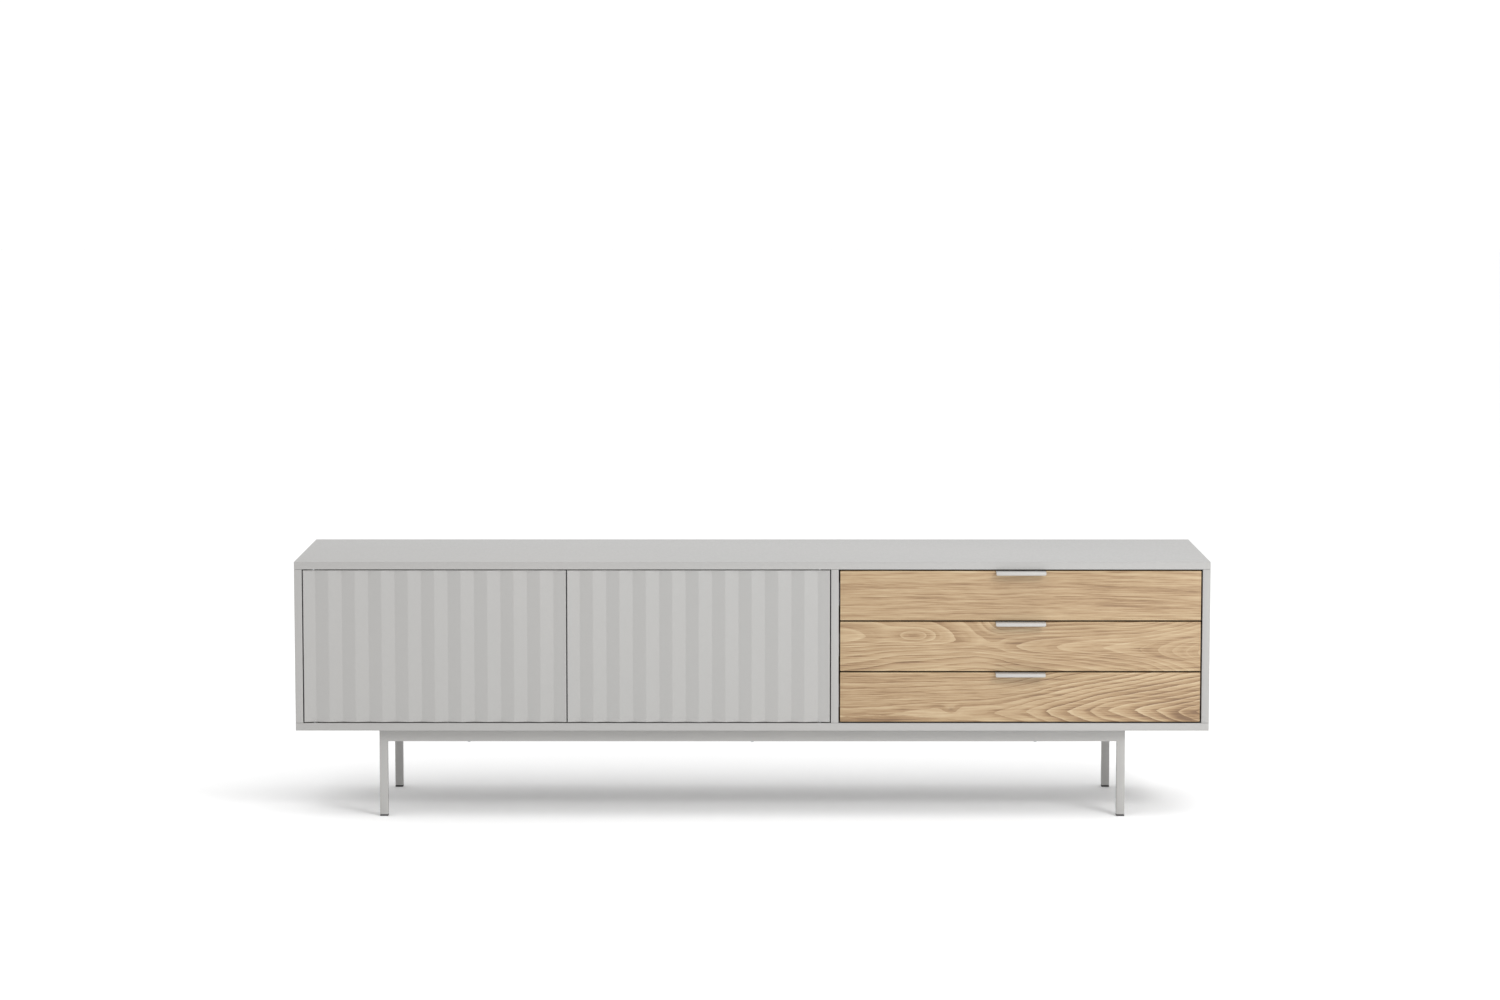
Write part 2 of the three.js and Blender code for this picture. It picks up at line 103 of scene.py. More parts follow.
def spread(tree, value, low, high, start=0.3, end=0.7):
    """A pattern brought to a range."""
    limits = {"Value": value, "From Min": start, "From Max": end, "To Min": low, "To Max": high}
    return step(tree, "ShaderNodeMapRange", limits).outputs[0]


def blend(tree, amount, first, second):
    """Two colours mixed by a pattern. The mixer's colours are its inputs 6 and 7."""
    sockets = {0: amount, 6: first, 7: second}
    return step(tree, "ShaderNodeMix", sockets, data_type="RGBA").outputs[2]


def relief(tree, shader, height, distance, strength):
    """Bump of a real height, in metres, on a shader."""
    inputs = {"Height": height, "Distance": distance, "Strength": strength}
    bump = step(tree, "ShaderNodeBump", inputs)
    tree.links.new(bump.outputs[0], shader.inputs["Normal"])


def studio_floor():
    half = FLOOR_SIZE / 2
    mesh = bpy.data.meshes.new("studio_floor")
    corners = [(-half, -half, 0), (half, -half, 0), (half, half, 0), (-half, half, 0)]
    mesh.from_pydata(corners, [], [(0, 1, 2, 3)])
    material, tree, shader = new_material("studio_white", Roughness=0.9)
    tone = blend(tree, pattern(tree, (0.4, 0.4, 0.4)), FLOOR_WHITE, FLOOR_WHITE_LIGHT)
    tree.links.new(tone, shader.inputs["Base Color"])
    mesh.materials.append(material)
    floor = bpy.data.objects.new("studio_floor", mesh)
    scene.collection.objects.link(floor)


def soft_light(name, place, aim, size, power):
    lamp = bpy.data.lights.new(name, "AREA")
    lamp.shape = "RECTANGLE"
    lamp.size, lamp.size_y = size
    lamp.energy = power
    light = bpy.data.objects.new(name, lamp)
    light.location = place
    light.rotation_euler = (Vector(aim) - Vector(place)).to_track_quat("-Z", "Y").to_euler()
    scene.collection.objects.link(light)


studio_floor()
soft_light("overhead_light", place=(0.5, -0.6, 3.4), aim=(0.1, 0, 0.3), size=(4.0, 2.4), power=26)
soft_light("right_light", place=(2.5, -3.5, 3.1), aim=(0, 0, 0.3), size=(1.5, 1.2), power=88)
soft_light("low_light", place=(1.6, -4.6, 0.45), aim=(0, 0, 0.15), size=(3.0, 0.6), power=36)

room = bpy.data.worlds.new("white_room")
room.use_nodes = True
room_colour = room.node_tree.nodes["Background"].inputs
room_colour["Color"].default_value = (1.0, 1.0, 1.0, 1)
room_colour["Strength"].default_value = ROOM_BRIGHTNESS
scene.world = room
scene.view_settings.view_transform = "Standard"

camera = bpy.data.cameras.new("camera")
camera.sensor_width = 36.0
camera.lens = CAMERA_LENS
eye = bpy.data.objects.new("camera", camera)
eye.location = CAMERA_PLACE
eye.rotation_euler = (radians(90 - CAMERA_TILT), 0, radians(CAMERA_TURN))
scene.collection.objects.link(eye)
scene.camera = eye


# ---- Case -------------------------------------------------------------------------------
# The top and bottom run over two sides and a divider, all of 15 mm fibreboard with eased
# edges, sprayed in a warm light grey satin lacquer. Dowels and cams hold the corners.

CASE_GREY = (0.303, 0.300, 0.293, 1)
CASE_GREY_WARM = (0.310, 0.304, 0.296, 1)
LACQUER_MIST = (0.20, 0.195, 0.19, 1)
CASE_EASE = 0.0007


def sprayed_lacquer():
    material, tree, shader = new_material("grey_lacquer", Coat_Weight=0.06, Coat_Roughness=0.25)
    cloud = spread(tree, pattern(tree, (2.1, 2.1, 2.6), 3), 0, 1)
    mist = pattern(tree, (260, 260, 260), 3, 0.6)
    tone = blend(tree, cloud, CASE_GREY, CASE_GREY_WARM)
    misted = blend(tree, spread(tree, mist, 0, 0.035), tone, LACQUER_MIST)
    tree.links.new(misted, shader.inputs["Base Color"])
    tree.links.new(spread(tree, mist, 0.40, 0.50), shader.inputs["Roughness"])
    relief(tree, shader, pattern(tree, (720, 720, 720), 2), 0.00002, 0.5)
    return material


LACQUER = sprayed_lacquer()


def keep_smooth(mesh):
    for face in mesh.polygons:
        face.use_smooth = True


def settle(thing):
    """Applies every modifier, so the piece is one plain mesh."""
    graph = bpy.context.evaluated_depsgraph_get()
    made = bpy.data.meshes.new_from_object(thing.evaluated_get(graph))
    thing.modifiers.clear()
    thing.data = made
    made.name = thing.name


def ease_edges(thing, ease, rows=2):
    """Rounds every edge sharper than 30 degrees, with flat faces left flat. One row is a
    plain chamfer."""
    bevel = thing.modifiers.new("eased_edges", "BEVEL")
    bevel.width = ease
    bevel.segments = rows
    bevel.limit_method = "ANGLE"
    bevel.angle_limit = radians(30)
    if rows > 1:
        bevel.harden_normals = True
        keep_smooth(thing.data)
    settle(thing)


def finished(node, ease, material, body, rows=2):
    """A node's own shape with its edges eased, which stands for the node."""
    mesh = frame["nodes"][node].data.copy()
    shape = bmesh.new()
    shape.from_mesh(mesh)
    bmesh.ops.remove_doubles(shape, verts=shape.verts, dist=1e-5)
    bmesh.ops.dissolve_limit(shape, angle_limit=radians(0.5), verts=shape.verts, edges=shape.edges)
    shape.to_mesh(mesh)
    shape.free()
    mesh.materials.clear()
    mesh.materials.append(material)
    piece = bpy.data.objects.new(f"{node}_made", mesh)
    scene.collection.objects.link(piece)
    ease_edges(piece, ease, rows)
    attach(piece, body)
    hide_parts(node)


for board in ("top_panel", "bottom_panel", "left_side_panel", "right_side_panel", "drawer_divider"):
    finished(board, CASE_EASE, LACQUER, "cabinet", rows=3)


# ---- Partition, shelves and back --------------------------------------------------------
# Melamine-faced board in the same grey, with a matt printed texture. The shelves lift out;
# the thin back slides in a groove all round and has two round cable outlets.

MELAMINE_GREY = (0.36, 0.355, 0.347, 1)
MELAMINE_GREY_DEEP = (0.345, 0.340, 0.332, 1)
MELAMINE_FLECK = (0.24, 0.235, 0.225, 1)
BOARD_EASE = 0.0006
BACK_EASE = 0.0003


def melamine():
    material, tree, shader = new_material("grey_melamine")
    speck = pattern(tree, (900, 900, 900), 3, 0.7)
    cloud = pattern(tree, (7, 7, 7), 2)
    tone = blend(tree, spread(tree, cloud, 0, 1), MELAMINE_GREY, MELAMINE_GREY_DEEP)
    fleck = blend(tree, spread(tree, speck, 0, 0.08), tone, MELAMINE_FLECK)
    tree.links.new(fleck, shader.inputs["Base Color"])
    tree.links.new(spread(tree, speck, 0.52, 0.66), shader.inputs["Roughness"])
    relief(tree, shader, speck, 0.00003, 0.5)
    return material


MELAMINE = melamine()
for board in ("centre_partition", "left_shelf", "right_shelf"):
    finished(board, BOARD_EASE, MELAMINE, "cabinet")
finished("back_panel", BACK_EASE, MELAMINE, "cabinet", rows=1)


# ---- Cable outlets ----------------------------------------------------------------------
# Each round hole in the back is lined with a moulded plastic ring: a barrel through the
# board with a thin flange behind it, pressed in from the back.

RING_RADIUS = 0.0297
RING_FLANGE = 0.0035
RING_WALL = 0.0016
RING_LIP = 0.0012
RING_PROUD = 0.001  # of the barrel, in front of the board
RING_EASE = 0.0003
RING_SIDES = 64
BORE_LENGTH = 0.1  # of the tool that opens the ring, longer than any barrel
CHARCOAL_TONES = ((0.022, 0.022, 0.023, 1), (0.034, 0.034, 0.035, 1))


def dark_plastic():
    material, tree, shader = new_material("charcoal_plastic")
    spark = pattern(tree, (1500, 1500, 1500), 2, 0.6)
    tone = blend(tree, spread(tree, spark, 0, 1), *CHARCOAL_TONES)
    tree.links.new(tone, shader.inputs["Base Color"])
    tree.links.new(spread(tree, spark, 0.5, 0.66), shader.inputs["Roughness"])
    relief(tree, shader, spark, 0.00004, 0.6)
    return material


CHARCOAL = dark_plastic()


def new_tree(name, given, sizes):
    """A Geometry Nodes tree that takes a geometry and named sizes. Returns it and its inputs."""
    tree = bpy.data.node_groups.new(name, "GeometryNodeTree")
    tree.interface.new_socket(given, in_out="INPUT", socket_type="NodeSocketGeometry")
    for size in sizes:
        tree.interface.new_socket(size, in_out="INPUT", socket_type="NodeSocketFloat")
    tree.interface.new_socket("Made", in_out="OUTPUT", socket_type="NodeSocketGeometry")
    entry = tree.nodes.new("NodeGroupInput")
    return tree, entry.outputs


def close_tree(tree, geometry, material):
    """Ends a tree: real geometry, with its material."""
    real = step(tree, "GeometryNodeRealizeInstances", {"Geometry": geometry})
    skin = {"Geometry": real.outputs[0], "Material": material}
    coated = step(tree, "GeometryNodeSetMaterial", skin)
    leave = tree.nodes.new("NodeGroupOutput")
    tree.links.new(coated.outputs[0], leave.inputs["Made"])


def calc(tree, operation, *values):
    """One sum on values or sockets, in a shader or a geometry tree."""
    node = step(tree, "ShaderNodeMath", operation=operation)
    for socket, value in zip(node.inputs, values):
        if isinstance(value, bpy.types.NodeSocket):
            tree.links.new(value, socket)
        else:
            socket.default_value = value
    return node.outputs[0]


def vector(tree, x, y, z):
    return step(tree, "ShaderNodeCombineXYZ", {"X": x, "Y": y, "Z": z}).outputs[0]


def grown(name, mesh, tree, sizes, body, ease=None, stands_for=()):
    """Runs a tree on a mesh and keeps the result as one plain piece on one body."""
    piece = bpy.data.objects.new(name, mesh)
    scene.collection.objects.link(piece)
    modifier = piece.modifiers.new(tree.name, "NODES")
    modifier.node_group = tree
    for item in tree.interface.items_tree:
        if item.name in sizes:
            modifier[item.identifier] = float(sizes[item.name])
    settle(piece)
    if ease:
        ease_edges(piece, ease)
    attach(piece, body)
    if stands_for:
        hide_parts(*stands_for)


def places(spots):
    """A mesh of loose points from (place, facing) pairs, each keeping the way it faces."""
    mesh = bpy.data.meshes.new("places")
    mesh.from_pydata([place for place, _ in spots], [], [])
    facing = mesh.attributes.new("facing", "FLOAT_VECTOR", "POINT")
    for entry, (_, way) in zip(facing.data, spots):
        entry.vector = way
    return mesh


def set_out(tree, entry, shape, material):
    """Puts a copy of a shape, made standing along Z, at every place, facing its own way."""
    name = {"Name": "facing"}
    way = step(tree, "GeometryNodeInputNamedAttribute", name, data_type="FLOAT_VECTOR")
    turn = step(tree, "FunctionNodeAlignRotationToVector", {"Vector": way.outputs[0]}, axis="Z")
    spots = {"Points": entry["Places"], "Instance": shape, "Rotation": turn.outputs[0]}
    copies = step(tree, "GeometryNodeInstanceOnPoints", spots)
    close_tree(tree, copies.outputs[0], material)


def rod(tree, sides, radius, length, middle):
    """A closed round rod along Z, with its middle at a given height."""
    sizes = {"Vertices": sides, "Radius": radius, "Depth": length}
    made = step(tree, "GeometryNodeMeshCylinder", sizes)
    lift = {"Geometry": made.outputs["Mesh"], "Translation": vector(tree, 0, 0, middle)}
    return step(tree, "GeometryNodeTransform", lift).outputs[0]


def ring_tree():
    sizes = ["Hole radius", "Wall", "Flange", "Lip", "Board"]
    tree, entry = new_tree("cable_ring", "Places", sizes)
    hole, lip, board = entry["Hole radius"], entry["Lip"], entry["Board"]
    barrel = rod(tree, RING_SIDES, hole, board, calc(tree, "MULTIPLY", board, -0.5))
    flange_radius = calc(tree, "ADD", hole, entry["Flange"])
    flange = rod(tree, RING_SIDES, flange_radius, lip, calc(tree, "MULTIPLY", lip, 0.5))
    bore = rod(tree, RING_SIDES, calc(tree, "SUBTRACT", hole, entry["Wall"]), BORE_LENGTH, 0)
    body = step(tree, "GeometryNodeMeshBoolean", operation="UNION")
    tree.links.new(barrel, body.inputs["Mesh 2"])
    tree.links.new(flange, body.inputs["Mesh 2"])
    ring = step(tree, "GeometryNodeMeshBoolean", operation="DIFFERENCE")
    tree.links.new(body.outputs[0], ring.inputs["Mesh 1"])
    tree.links.new(bore, ring.inputs["Mesh 2"])
    set_out(tree, entry, ring.outputs[0], CHARCOAL)
    return tree


def opening(name):
    """The middle of one of the part's stated openings."""
    for entry in frame["record"]["physics"]["openings"]:
        if entry["name"] == name:
            low, high = (Vector(corner) for corner in entry["box_m"])
            return (low + high) / 2


back_low, back_high = (Vector(corner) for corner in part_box("back_panel"))
outlet_spots = []
for side in ("left", "right"):
    middle = opening(f"{side}_cable_outlet")
    outlet_spots.append(((middle.x, back_high.y, middle.z), (0, 1, 0)))
ring_sizes = {
    "Hole radius": RING_RADIUS,
    "Wall": RING_WALL,
    "Flange": RING_FLANGE,
    "Lip": RING_LIP,
    "Board": back_high.y - back_low.y + RING_PROUD,
}
rings = places(outlet_spots)
grown("cable_rings", rings, ring_tree(), ring_sizes, "cabinet", RING_EASE)


# ---- Shelf pins and their sleeves -------------------------------------------------------
# Rows of bright sleeves are pressed into the walls of both compartments, 32 mm apart, and
# a round steel pin stands in four of them under each shelf.

PIN_ROW_PITCH = 0.032
PIN_ROWS = (-2, -1, 0, 1, 2)
SLEEVE_RADIUS = 0.003
SLEEVE_LIP = 0.0006
SLEEVE_BORE = 0.72  # of its radius
SLEEVE_SINK = 0.7  # of its lip
PIN_RADIUS = 0.0024
PIN_LENGTH = 0.008
PIN_EASE = 0.0004
PIN_PLAY = 0.0002  # under a shelf
PIN_INSET = 0.045  # from the front and back edges of a shelf
STEEL_SMOKE = (0.42, 0.43, 0.46, 1)


def bright_steel(name, tint):
    material, tree, shader = new_material(name, Metallic=1.0)
    streak = pattern(tree, (900, 60, 900), 4, 0.6)
    cloud = pattern(tree, (35, 35, 35), 2)
    dull = tuple(0.72 * part for part in tint[:3]) + (1,)
    tone = blend(tree, spread(tree, streak, 0, 0.5), tint, dull)
    smoky = blend(tree, spread(tree, cloud, 0, 0.25), tone, STEEL_SMOKE)
    tree.links.new(smoky, shader.inputs["Base Color"])
    tree.links.new(spread(tree, streak, 0.26, 0.44), shader.inputs["Roughness"])
    relief(tree, shader, streak, 0.00001, 0.5)
    return material


NICKEL = bright_steel("bright_nickel", (0.72, 0.71, 0.68, 1))


def sleeve_tree():
    tree, entry = new_tree("sleeve", "Places", ["Radius", "Height"])
    depth = calc(tree, "MULTIPLY", entry["Height"], 2)
    sizes = {"Vertices": 16, "Radius": entry["Radius"], "Depth": depth}
    disc = step(tree, "GeometryNodeMeshCylinder", sizes)
    inset = {"Mesh": disc.outputs["Mesh"], "Selection": disc.outputs["Top"], "Offset Scale": 0.0}
    rim = step(tree, "GeometryNodeExtrudeMesh", inset, mode="FACES")
    narrow = {
        "Geometry": rim.outputs["Mesh"],
        "Selection": rim.outputs["Top"],
        "Scale": SLEEVE_BORE,
    }
    mouth = step(tree, "GeometryNodeScaleElements", narrow)
    sink = {
        "Mesh": mouth.outputs[0],
        "Selection": rim.outputs["Top"],
        "Offset Scale": calc(tree, "MULTIPLY", entry["Height"], -SLEEVE_SINK),
    }
    bore = step(tree, "GeometryNodeExtrudeMesh", sink, mode="FACES")
    set_out(tree, entry, bore.outputs["Mesh"], NICKEL)
    return tree


def pin_tree():
    tree, entry = new_tree("shelf_pin", "Places", ["Radius", "Length"])
    length = entry["Length"]
    peg = rod(tree, 20, entry["Radius"], length, calc(tree, "MULTIPLY", length, 0.5))
    set_out(tree, entry, peg, NICKEL)
    return tree


sleeve_spots, pin_spots = [], []
for side, walls in (
    ("left", ("left_side_panel", "centre_partition")),
    ("right", ("centre_partition", "drawer_divider")),
):
    shelf_low, shelf_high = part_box(f"{side}_shelf")
    wall_faces = ((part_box(walls[0])[1][0], 1), (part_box(walls[1])[0][0], -1))
    for face, way in wall_faces:
        for depth in (shelf_low[1] + PIN_INSET, shelf_high[1] - PIN_INSET):
            level = shelf_low[2] - SLEEVE_RADIUS - PIN_PLAY
            for row in PIN_ROWS:
                sleeve_spots.append(((face, depth, level + row * PIN_ROW_PITCH), (way, 0, 0)))
            pin_spots.append(((face, depth, level), (way, 0, 0)))
sleeves, pins = places(sleeve_spots), places(pin_spots)
sleeve_sizes = {"Radius": SLEEVE_RADIUS, "Height": SLEEVE_LIP}
grown("shelf_pin_sleeves", sleeves, sleeve_tree(), sleeve_sizes, "cabinet")
pin_sizes = {"Radius": PIN_RADIUS, "Length": PIN_LENGTH}
grown("shelf_pins", pins, pin_tree(), pin_sizes, "cabinet", PIN_EASE)


# ---- Cam covers -------------------------------------------------------------------------
# Each corner joint is drawn up by a cam inside the board. A thin moulded cover snaps over
# every cam on the inner faces of the compartment walls, and later of the drawer sides.

COVER_RADIUS = 0.009
COVER_HEIGHT = 0.0009
CAM_INSET = 0.034  # from the lower and upper ends of a wall
CAM_DEPTHS = (0.085, 0.335)  # from the front edge of a wall
PLASTIC_TONES = ((0.42, 0.42, 0.41, 1), (0.48, 0.475, 0.465, 1))


def grey_plastic():
    material, tree, shader = new_material("grey_plastic")
    skin = pattern(tree, (1100, 1100, 1100), 2, 0.6)
    tone = blend(tree, spread(tree, skin, 0, 1), *PLASTIC_TONES)
    tree.links.new(tone, shader.inputs["Base Color"])
    tree.links.new(spread(tree, skin, 0.42, 0.56), shader.inputs["Roughness"])
    relief(tree, shader, skin, 0.00003, 0.5)
    return material


GREY_PLASTIC = grey_plastic()


def button_tree(name, top, material):
    """Thin round buttons, whose top has a given share of their radius."""
    tree, entry = new_tree(name, "Places", ["Radius", "Height"])
    sizes = {
        "Vertices": 32,
        "Radius Bottom": entry["Radius"],
        "Radius Top": calc(tree, "MULTIPLY", entry["Radius"], top),
        "Depth": entry["Height"],
    }
    disc = step(tree, "GeometryNodeMeshCone", sizes)
    set_out(tree, entry, disc.outputs["Mesh"], material)
    return tree


COVER = button_tree("cam_cover", 0.9, GREY_PLASTIC)
cover_spots = []
wall_low, wall_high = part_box("left_side_panel")
faces = (
    (wall_high[0], 1),
    (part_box("centre_partition")[0][0], -1),
    (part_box("centre_partition")[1][0], 1),
    (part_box("drawer_divider")[0][0], -1),
)
for face, way in faces:
    for level in (wall_low[2] + CAM_INSET, wall_high[2] - CAM_INSET):
        for depth in CAM_DEPTHS:
            cover_spots.append(((face, wall_low[1] + depth, level), (way, 0, 0)))
cover_sizes = {"Radius": COVER_RADIUS, "Height": COVER_HEIGHT}
grown("cam_covers", places(cover_spots), COVER, cover_sizes, "cabinet")


# ---- Base -------------------------------------------------------------------------------
# Two inverted U frames of thin-walled steel tube, joined by a cross rail at each end. The
# joints are welded and ground, and the whole frame is powder coated in light grey.

STEEL_EASE = 0.0010
COAT_GREY = (0.328, 0.323, 0.314, 1)
COAT_GREY_DEEP = (0.318, 0.313, 0.304, 1)
COAT_FLECK = (0.19, 0.187, 0.183, 1)
WELD_BEAD = 0.0006
WELD_CORNER = 0.001
WELD_PROUD = 0.00015  # of the end of a cross rail


def powder_coat(name, colour, deep):
    material, tree, shader = new_material(name, Coat_Weight=0.04, Coat_Roughness=0.3)
    peel = pattern(tree, (1300, 1300, 1300), 3, 0.65)
    cloud = pattern(tree, (9, 9, 9), 2)
    tone = blend(tree, spread(tree, cloud, 0, 1), colour, deep)
    fleck = blend(tree, spread(tree, peel, 0, 0.10), tone, COAT_FLECK)
    tree.links.new(fleck, shader.inputs["Base Color"])
    tree.links.new(spread(tree, peel, 0.36, 0.52), shader.inputs["Roughness"])
    relief(tree, shader, peel, 0.00004, 0.6)
    return material


BASE_COAT = powder_coat("base_powder_coat", COAT_GREY, COAT_GREY_DEEP)
for tube in ("front_leg_frame", "rear_leg_frame", "left_cross_rail", "right_cross_rail"):
    finished(tube, STEEL_EASE, BASE_COAT, "cabinet", rows=3)


def weld_tree():
    tree, entry = new_tree("weld", "Places", ["Width", "Height", "Bead"])
    sizes = {
        "Width": calc(tree, "SUBTRACT", entry["Width"], entry["Bead"]),
        "Height": calc(tree, "SUBTRACT", entry["Height"], entry["Bead"]),
    }
    path = step(tree, "GeometryNodeCurvePrimitiveQuadrilateral", sizes)
    corner = {"Curve": path.outputs[0], "Radius": WELD_CORNER, "Count": 3}
    rounded = step(tree, "GeometryNodeFilletCurve", corner, mode="POLY")
    section = {"Resolution": 8, "Radius": entry["Bead"]}
    bead = step(tree, "GeometryNodeCurvePrimitiveCircle", section)
    seam = {"Curve": rounded.outputs[0], "Profile Curve": bead.outputs[0]}
    rope = step(tree, "GeometryNodeCurveToMesh", seam)
    set_out(tree, entry, rope.outputs[0], BASE_COAT)
    return tree


weld_spots = []
for side in ("left", "right"):
    rail_low, rail_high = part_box(f"{side}_cross_rail")
    for end in (rail_low[1] - WELD_PROUD, rail_high[1] + WELD_PROUD):
        middle = ((rail_low[0] + rail_high[0]) / 2, end, (rail_low[2] + rail_high[2]) / 2)
        weld_spots.append((middle, (0, 1, 0)))
weld_sizes = {
    "Width": rail_high[0] - rail_low[0],
    "Height": rail_high[2] - rail_low[2],
    "Bead": WELD_BEAD,
}
grown("frame_welds", places(weld_spots), weld_tree(), weld_sizes, "cabinet")


# ---- Glides -----------------------------------------------------------------------------
# A moulded insert closes each leg: a ribbed plug inside the tube and a low square foot, in
# charcoal plastic.

GLIDE_EASE = 0.0007

for row in ("front", "rear"):
    for side in ("left", "right"):
        finished(f"{row}_{side}_glide", GLIDE_EASE, CHARCOAL, "cabinet")


# ---- Base screws ------------------------------------------------------------------------
# Pan-head screws go up through the rails into the bottom panel: three along each leg frame
# and one in each cross rail.

SCREW_CROWN = 0.6  # radius of the top of a head, as a share of the radius below
SLOT_LENGTH = 0.95  # length and width of each arm pair of the cross, likewise
SLOT_WIDTH = 0.22
BASE_SCREW = (0.0042, 0.0022)  # radius and height of the head
BASE_SCREW_SHARES = (0.12, 0.5, 0.88)  # along a leg frame

ZINC = bright_steel("bright_zinc", (0.66, 0.68, 0.72, 1))


def screw_tree():
    tree, entry = new_tree("cross_screw", "Places", ["Radius", "Height"])
    radius, height = entry["Radius"], entry["Height"]
    dome = {
        "Vertices": 20,
        "Side Segments": 1,
        "Radius Bottom": radius,
        "Radius Top": calc(tree, "MULTIPLY", radius, SCREW_CROWN),
        "Depth": height,
    }
    head = step(tree, "GeometryNodeMeshCone", dome)
    long = calc(tree, "MULTIPLY", radius, SLOT_LENGTH)
    short = calc(tree, "MULTIPLY", radius, SLOT_WIDTH)
    top = vector(tree, 0, 0, height)
    cross = step(tree, "GeometryNodeMeshBoolean", operation="DIFFERENCE")
    tree.links.new(head.outputs["Mesh"], cross.inputs["Mesh 1"])
    for size in (vector(tree, long, short, height), vector(tree, short, long, height)):
        blade = step(tree, "GeometryNodeMeshCube", {"Size": size})
        raised = {"Geometry": blade.outputs["Mesh"], "Translation": top}
        cutter = step(tree, "GeometryNodeTransform", raised)
        tree.links.new(cutter.outputs[0], cross.inputs["Mesh 2"])
    set_out(tree, entry, cross.outputs[0], ZINC)
    return tree


SCREW = screw_tree()


def screws(name, spots, head, body):
    sizes = {"Radius": head[0], "Height": head[1]}
    grown(name, places(spots), SCREW, sizes, body)


def along(low, high, share):
    """The place at a share of the way from one end of a range to the other."""
    return low + share * (high - low)


screw_spots = []
rail_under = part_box("left_cross_rail")[0][2]
for row in ("front", "rear"):
    low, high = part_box(f"{row}_leg_frame")
    for share in BASE_SCREW_SHARES:
        spot = (along(low[0], high[0], share), along(low[1], high[1], 0.5), rail_under)
        screw_spots.append((spot, (0, 0, -1)))
for side in ("left", "right"):
    low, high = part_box(f"{side}_cross_rail")
    spot = (along(low[0], high[0], 0.5), along(low[1], high[1], 0.5), rail_under)
    screw_spots.append((spot, (0, 0, -1)))
screws("base_screws", screw_spots, BASE_SCREW, "cabinet")


# ---- Doors ------------------------------------------------------------------------------
# Each door is one fibreboard panel whose face is milled into shallow upright pleats, with
# crisp crests and valleys, then sprayed like the case. A recess at the top and the bottom
# edge takes the pivot leaf.

PLEATS_PER_DOOR = 10
PLEAT_DEPTH = 0.004
CREST = 0.0008
DOOR_EASE = 0.001  # chamfer on the upright front edges
DOOR_ROUND = 0.0005  # on every other edge
COLUMN = 0.001  # the face is drawn in columns this wide
LEAF_FIT = 0.0003
LEAF_THICKNESS = 0.0025
RECESS_PAST = 0.002  # of the tool that cuts a recess, past the end of the door


def pleated_door_tree():
    names = ["Width", "Height", "Thickness", "Pitch", "Depth", "Crest", "Phase", "Ease"]
    tree, entry = new_tree("pleated_door", "Recesses", names + ["Left", "Front", "Foot"])
    width, thickness = entry["Width"], entry["Thickness"]
    columns = calc(tree, "ADD", calc(tree, "ROUND", calc(tree, "DIVIDE", width, COLUMN)), 1)
    size = vector(tree, width, thickness, entry["Height"])
    board = step(tree, "GeometryNodeMeshCube", {"Size": size, "Vertices X": columns})
    position = step(tree, "GeometryNodeInputPosition").outputs[0]
    spot = step(tree, "ShaderNodeSeparateXYZ", {"Vector": position})
    from_left = calc(tree, "ADD", spot.outputs["X"], calc(tree, "MULTIPLY", width, 0.5))
    half = calc(tree, "MULTIPLY", entry["Pitch"], 0.5)
    off_crest = calc(tree, "PINGPONG", calc(tree, "ADD", from_left, entry["Phase"]), half)
    crest = entry["Crest"]
    squares = calc(tree, "ADD", calc(tree, "POWER", off_crest, 2), calc(tree, "POWER", crest, 2))
    reach = calc(tree, "SQRT", squares)
    slope = calc(tree, "DIVIDE", entry["Depth"], half)
    fall = calc(tree, "MULTIPLY", slope, calc(tree, "SUBTRACT", reach, crest))
    near_left = calc(tree, "SUBTRACT", entry["Ease"], from_left)
    near_right = calc(tree, "SUBTRACT", entry["Ease"], calc(tree, "SUBTRACT", width, from_left))
    edge = calc(tree, "MAXIMUM", calc(tree, "MAXIMUM", near_left, near_right), 0.0)
    is_face = calc(tree, "LESS_THAN", spot.outputs["Y"], 0.0)
    back = calc(tree, "MULTIPLY", is_face, calc(tree, "ADD", fall, edge))
    moved = {"Geometry": board.outputs["Mesh"], "Offset": vector(tree, 0, back, 0)}
    face = step(tree, "GeometryNodeSetPosition", moved)
    centre = vector(
        tree,
        calc(tree, "MULTIPLY_ADD", width, 0.5, entry["Left"]),
        calc(tree, "MULTIPLY_ADD", thickness, 0.5, entry["Front"]),
        calc(tree, "MULTIPLY_ADD", entry["Height"], 0.5, entry["Foot"]),
    )
    hung = step(tree, "GeometryNodeTransform", {"Geometry": face.outputs[0], "Translation": centre})
    cut = step(tree, "GeometryNodeMeshBoolean", operation="DIFFERENCE")
    tree.links.new(hung.outputs[0], cut.inputs["Mesh 1"])
    tree.links.new(entry["Recesses"], cut.inputs["Mesh 2"])
    close_tree(tree, cut.outputs[0], LACQUER)
    return tree


def blocks(name, ranges):
    """A mesh of closed boxes, from their lowest and highest corners."""
    shape = bmesh.new()
    for low, high in ranges:
        made = bmesh.ops.create_cube(shape, size=1.0)["verts"]
        bmesh.ops.scale(shape, vec=high - low, verts=made)
        bmesh.ops.translate(shape, vec=(low + high) / 2, verts=made)
    mesh = bpy.data.meshes.new(name)
    shape.to_mesh(mesh)
    shape.free()
    return mesh


